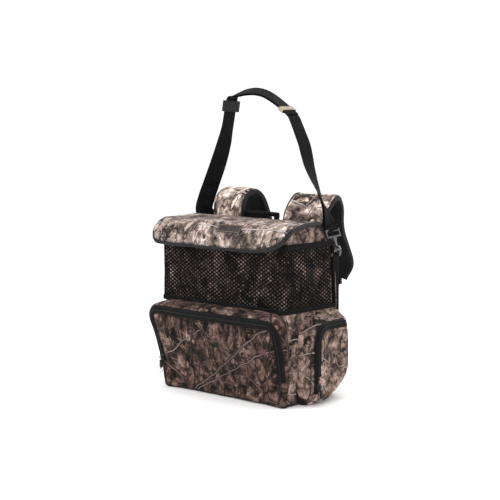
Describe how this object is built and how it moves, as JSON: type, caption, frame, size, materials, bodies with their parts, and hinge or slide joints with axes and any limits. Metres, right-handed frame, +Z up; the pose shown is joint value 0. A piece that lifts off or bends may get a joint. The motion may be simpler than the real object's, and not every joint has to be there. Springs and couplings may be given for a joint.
{
  "type": "tackle backpack",
  "caption": "Camouflage tackle backpack: drop flap, net pocket, zipped front and side pockets, shoulder straps and clip-on carry strap.",
  "frame": {"origin": "centre of the main bag's flat base", "axes": "+X to the right seen from the front, +Y towards the wearer's back, +Z up"},
  "size_m": [0.438, 0.31, 0.6441],
  "materials": {
    "camo_lid": "printed woven polyester, light side of the pattern",
    "camo_body": "printed woven polyester",
    "binding": "woven edge tape",
    "net": "knitted hexagonal net",
    "black_fabric": "woven nylon webbing and spacer mesh",
    "strap_camo": "printed woven polyester",
    "tan_tape": "woven tape",
    "label": "blank woven label",
    "black_plastic": "moulded acetal",
    "board": "stiffener board",
    "sheet": "polyethylene sheet",
    "metal": "plated steel",
    "sleeve": "moulded pull sleeve"
  },
  "bodies": {
    "bag": {"main_body": "camo_body", "base_board": "board", "frame_sheet": "sheet", "back_pad": "black_fabric", "net_pocket": "net", "net_top_elastic": "black_fabric", "net_bottom_band": "black_fabric", "loop_patch": "black_fabric", "front_gusset": "camo_body", "front_zip_outer": "black_fabric", "side_gusset_left": "camo_body", "side_gusset_right": "camo_body", "side_zip_outer_left": "black_fabric", "side_zip_outer_right": "black_fabric", "ring_tab_left": "black_fabric", "ring_tab_right": "black_fabric", "strap_anchor_left": "black_fabric", "strap_anchor_right": "black_fabric", "lower_webbing_left": "black_fabric", "lower_webbing_right": "black_fabric"},
    "lid": {"lid_flap": "camo_lid", "lid_binding": "binding", "lid_label": "label", "hook_patch": "black_fabric"},
    "front_flap": {"front_panel": "camo_body", "front_zip_inner": "black_fabric"},
    "front_slider": {"front_slider": "black_plastic"},
    "front_pull": {"front_pull_wire": "metal", "front_pull_sleeve": "sleeve"},
    "carry_strap": {"carry_webbing": "black_fabric", "carry_tail": "black_fabric", "tail_keeper": "tan_tape", "snap_hook_left": "metal", "snap_hook_right": "metal"},
    "tri_glide": {"tri_glide": "black_plastic"},
    "haul_handle": {"haul_handle": "black_fabric"},
    "side_flap_left": {"side_panel_left": "camo_body", "side_zip_inner_left": "black_fabric"},
    "side_slider_left": {"side_slider_left": "black_plastic"},
    "side_pull_left": {"side_pull_wire_left": "metal", "side_pull_sleeve_left": "sleeve"},
    "d_ring_left": {"d_ring_left": "metal"},
    "hook_gate_left": {"hook_gate_left": "metal"},
    "shoulder_strap_left": {"shoulder_cover_left": "strap_camo", "shoulder_pad_left": "black_fabric"},
    "ladder_lock_left": {"ladder_lock_left": "black_plastic"},
    "side_flap_right": {"side_panel_right": "camo_body", "side_zip_inner_right": "black_fabric"},
    "side_slider_right": {"side_slider_right": "black_plastic"},
    "side_pull_right": {"side_pull_wire_right": "metal", "side_pull_sleeve_right": "sleeve"},
    "d_ring_right": {"d_ring_right": "metal"},
    "hook_gate_right": {"hook_gate_right": "metal"},
    "shoulder_strap_right": {"shoulder_cover_right": "strap_camo", "shoulder_pad_right": "black_fabric"},
    "ladder_lock_right": {"ladder_lock_right": "black_plastic"}
  },
  "joints": [
    {"name": "lid_hinge", "type": "hinge", "parent": "bag", "child": "lid", "pos_m": [0, 0.014, 0.36625], "axis": [-1, 0, 0], "range_deg": [0, 80]},
    {"name": "front_panel_fold", "type": "hinge", "parent": "bag", "child": "front_flap", "pos_m": [0, -0.10282, 0.07528], "axis": [1, 0, 0], "range_deg": [0, 110]},
    {"name": "side_panel_fold_left", "type": "hinge", "parent": "bag", "child": "side_flap_left", "pos_m": [-0.21081, -0.0382, 0.088], "axis": [-0.1444, -0.8272, -0.543], "range_deg": [0, 100]},
    {"name": "side_slider_travel_left", "type": "slide", "parent": "bag", "child": "side_slider_left", "axis": [0, 0, 1], "range_m": [-0.03, 0.04]},
    {"name": "side_pull_swing_left", "type": "hinge", "parent": "side_slider_left", "child": "side_pull_left", "pos_m": [-0.21594, -0.02918, 0.071], "axis": [0.172, 0.9851, 0], "range_deg": [0, 150]},
    {"name": "side_panel_fold_right", "type": "hinge", "parent": "bag", "child": "side_flap_right", "pos_m": [0.21081, -0.0382, 0.052], "axis": [-0.1243, 0.7117, 0.6914], "range_deg": [0, 100]},
    {"name": "side_slider_travel_right", "type": "slide", "parent": "bag", "child": "side_slider_right", "axis": [0, 0, 1], "range_m": [0, 0.07]},
    {"name": "side_pull_swing_right", "type": "hinge", "parent": "side_slider_right", "child": "side_pull_right", "pos_m": [0.21594, -0.02918, 0.039], "axis": [0.172, -0.9851, 0], "range_deg": [0, 150]},
    {"name": "front_slider_travel", "type": "slide", "parent": "bag", "child": "front_slider", "axis": [0, -0.2425, 0.9701], "range_m": [0, 0.08]},
    {"name": "front_pull_swing", "type": "hinge", "parent": "front_slider", "child": "front_pull", "pos_m": [-0.168, -0.10656, 0.06301], "axis": [-1, 0, 0], "range_deg": [0, 150]},
    {"name": "carry_strap_swing", "type": "hinge", "parent": "bag", "child": "carry_strap", "pos_m": [0, 0.072, 0.30898], "axis": [-1, 0, 0], "range_deg": [-2, 30]},
    {"name": "d_ring_tilt_left", "type": "hinge", "parent": "bag", "child": "d_ring_left", "pos_m": [-0.17, 0.072, 0.296], "axis": [0, 1, 0], "range_deg": [-8, 8]},
    {"name": "d_ring_tilt_right", "type": "hinge", "parent": "bag", "child": "d_ring_right", "pos_m": [0.17, 0.072, 0.296], "axis": [0, 1, 0], "range_deg": [-8, 8]},
    {"name": "hook_gate_spring_left", "type": "hinge", "parent": "carry_strap", "child": "hook_gate_left", "pos_m": [-0.16775, 0.07223, 0.30874], "axis": [0.0242, -0.9848, -0.172], "range_deg": [0, 18], "stiffness_Nm_per_rad": 0.02, "springref_deg": -17.19},
    {"name": "hook_gate_spring_right", "type": "hinge", "parent": "carry_strap", "child": "hook_gate_right", "pos_m": [0.18263, 0.07209, 0.31029], "axis": [0.0239, -0.9976, -0.0656], "range_deg": [0, 18], "stiffness_Nm_per_rad": 0.02, "springref_deg": -17.19},
    {"name": "tri_glide_travel", "type": "slide", "parent": "carry_strap", "child": "tri_glide", "axis": [0.1278, 0.048, 0.9906], "range_m": [-0.028, 0.006]},
    {"name": "shoulder_strap_swing_left", "type": "hinge", "parent": "bag", "child": "shoulder_strap_left", "pos_m": [-0.086, 0.033, 0.35], "axis": [1, 0, 0], "range_deg": [0, 8]},
    {"name": "ladder_lock_tilt_left", "type": "hinge", "parent": "shoulder_strap_left", "child": "ladder_lock_left", "pos_m": [-0.086, 0.176, 0.2385], "axis": [1, 0, 0], "range_deg": [0, 25]},
    {"name": "shoulder_strap_swing_right", "type": "hinge", "parent": "bag", "child": "shoulder_strap_right", "pos_m": [0.086, 0.033, 0.35], "axis": [1, 0, 0], "range_deg": [0, 8]},
    {"name": "ladder_lock_tilt_right", "type": "hinge", "parent": "shoulder_strap_right", "child": "ladder_lock_right", "pos_m": [0.086, 0.176, 0.2385], "axis": [1, 0, 0], "range_deg": [0, 25]},
    {"name": "haul_handle_fold", "type": "hinge", "parent": "bag", "child": "haul_handle", "pos_m": [0, 0.033, 0.347], "axis": [1, 0, 0], "range_deg": [-90, 0]}
  ]
}
